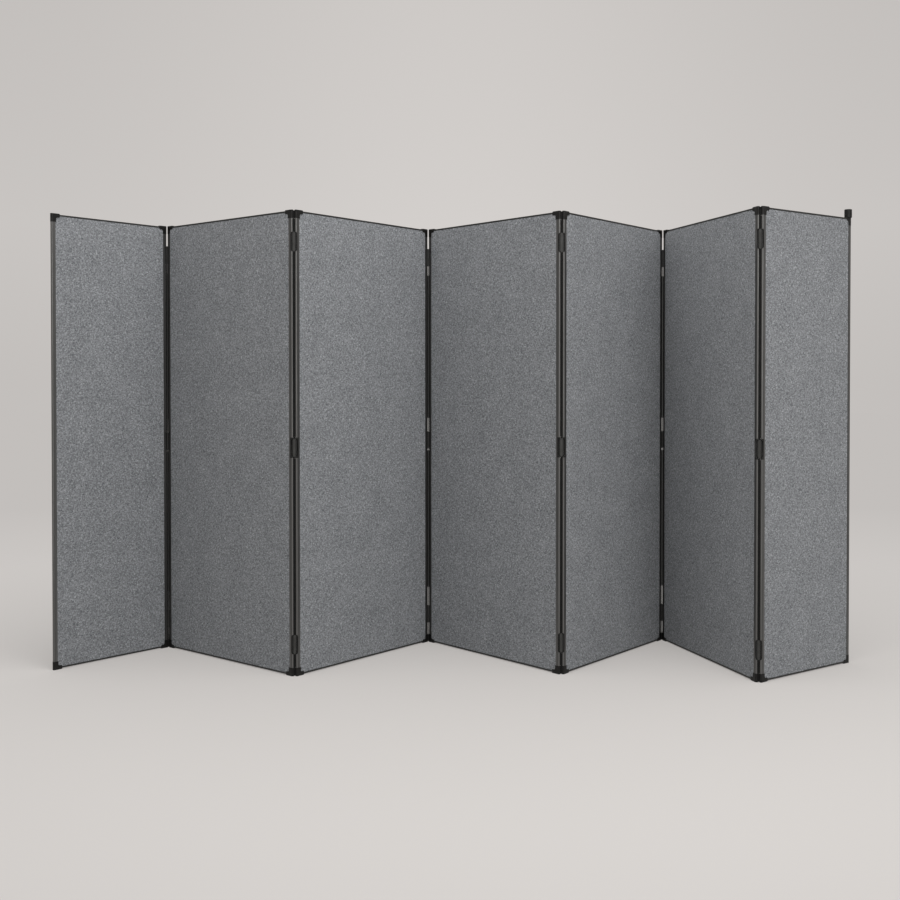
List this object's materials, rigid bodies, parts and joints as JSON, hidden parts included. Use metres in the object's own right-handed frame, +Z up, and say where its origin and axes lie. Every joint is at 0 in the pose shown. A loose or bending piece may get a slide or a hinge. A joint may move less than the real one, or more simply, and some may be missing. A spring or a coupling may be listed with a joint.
{
  "type": "accordion folding partition",
  "caption": "Free-standing folding screen: fabric-covered leaves in slim dark frames, joined in a zigzag by double-pivot hinges, with moulded corner caps and one round end post.",
  "frame": {"origin": "middle of the standing footprint, on the floor", "axes": "+X to the right along the screen, +Y away from the viewer, +Z up"},
  "size_m": [3.1844, 0.7756, 1.831],
  "materials": {
    "loop_fabric": "matte",
    "core_board": "matte",
    "dark_frame": "satin",
    "black_moulding": "matte",
    "black_strip": "matte",
    "steel": "satin"
  },
  "bodies": {
    "leaf_1": {"board_1": "core_board", "fabric_1": "loop_fabric", "rails_1": "dark_frame", "stiles_1": "dark_frame", "caps_1": "black_moulding", "collars_1": "black_moulding"},
    "leaf_2": {"board_2": "core_board", "fabric_2": "loop_fabric", "rails_2": "dark_frame", "stiles_2": "dark_frame", "caps_2": "black_moulding", "collars_2": "black_moulding"},
    "leaf_3": {"board_3": "core_board", "fabric_3": "loop_fabric", "rails_3": "dark_frame", "stiles_3": "dark_frame", "caps_3": "black_moulding", "collars_3": "black_moulding"},
    "leaf_4": {"board_4": "core_board", "fabric_4": "loop_fabric", "rails_4": "dark_frame", "stiles_4": "dark_frame", "caps_4": "black_moulding", "collars_4": "black_moulding"},
    "leaf_5": {"board_5": "core_board", "fabric_5": "loop_fabric", "rails_5": "dark_frame", "stiles_5": "dark_frame", "caps_5": "black_moulding", "collars_5": "black_moulding"},
    "leaf_6": {"board_6": "core_board", "fabric_6": "loop_fabric", "rails_6": "dark_frame", "stiles_6": "dark_frame", "caps_6": "black_moulding", "collars_6": "black_moulding"},
    "leaf_7": {"board_7": "core_board", "fabric_7": "loop_fabric", "rails_7": "dark_frame", "stiles_7": "dark_frame", "caps_7": "black_moulding", "collars_7": "black_moulding"},
    "fold_link_1": {"links_1": "black_moulding", "pins_1": "steel", "gap_strips_1": "black_strip"},
    "fold_link_2": {"links_2": "black_moulding", "pins_2": "steel", "gap_strips_2": "black_strip"},
    "fold_link_3": {"links_3": "black_moulding", "pins_3": "steel", "gap_strips_3": "black_strip"},
    "fold_link_4": {"links_4": "black_moulding", "pins_4": "steel", "gap_strips_4": "black_strip"},
    "fold_link_5": {"links_5": "black_moulding", "pins_5": "steel", "gap_strips_5": "black_strip"},
    "fold_link_6": {"links_6": "black_moulding", "pins_6": "steel", "gap_strips_6": "black_strip"}
  },
  "joints": [
    {"name": "fold_1_left", "type": "hinge", "parent": "fold_link_1", "child": "leaf_1", "pos_m": [-1.24314, 0.23412, 0], "axis": [0, 0, 1], "range_deg": [-45.75, 44.25]},
    {"name": "fold_1_right", "type": "hinge", "parent": "leaf_2", "child": "fold_link_1", "pos_m": [-1.22619, 0.23553, 0], "axis": [0, 0, 1], "range_deg": [-45.75, 44.25]},
    {"name": "fold_2_left", "type": "hinge", "parent": "fold_link_2", "child": "leaf_2", "pos_m": [-0.63073, -0.2821, 0], "axis": [0, 0, -1], "range_deg": [-46.75, 43.25]},
    {"name": "fold_2_right", "type": "hinge", "parent": "leaf_3", "child": "fold_link_2", "pos_m": [-0.61381, -0.2804, 0], "axis": [0, 0, -1], "range_deg": [-46.75, 43.25]},
    {"name": "fold_3_left", "type": "hinge", "parent": "fold_link_3", "child": "leaf_3", "pos_m": [-0.1335, 0.34556, 0], "axis": [0, 0, 1], "range_deg": [-50.75, 39.25]},
    {"name": "fold_3_right", "type": "hinge", "parent": "leaf_4", "child": "fold_link_3", "pos_m": [-0.11651, 0.34608, 0], "axis": [0, 0, 1], "range_deg": [-50.75, 39.25]},
    {"name": "fold_4_left", "type": "hinge", "parent": "leaf_4", "child": "fold_link_4", "pos_m": [0.40112, -0.24939, 0], "axis": [0, 0, 1], "range_deg": [-51, 39]},
    {"name": "fold_4_right", "type": "hinge", "parent": "fold_link_4", "child": "leaf_5", "pos_m": [0.41811, -0.24879, 0], "axis": [0, 0, 1], "range_deg": [-51, 39]},
    {"name": "fold_5_left", "type": "hinge", "parent": "leaf_5", "child": "fold_link_5", "pos_m": [0.89294, 0.38133, 0], "axis": [0, 0, -1], "range_deg": [-63, 27]},
    {"name": "fold_5_right", "type": "hinge", "parent": "fold_link_5", "child": "leaf_6", "pos_m": [0.90968, 0.37838, 0], "axis": [0, 0, -1], "range_deg": [-63, 27]},
    {"name": "fold_6_left", "type": "hinge", "parent": "leaf_6", "child": "fold_link_6", "pos_m": [1.14037, -0.37615, 0], "axis": [0, 0, 1], "range_deg": [-55.25, 34.75]},
    {"name": "fold_6_right", "type": "hinge", "parent": "fold_link_6", "child": "leaf_7", "pos_m": [1.15656, -0.38133, 0], "axis": [0, 0, 1], "range_deg": [-55.25, 34.75]}
  ]
}
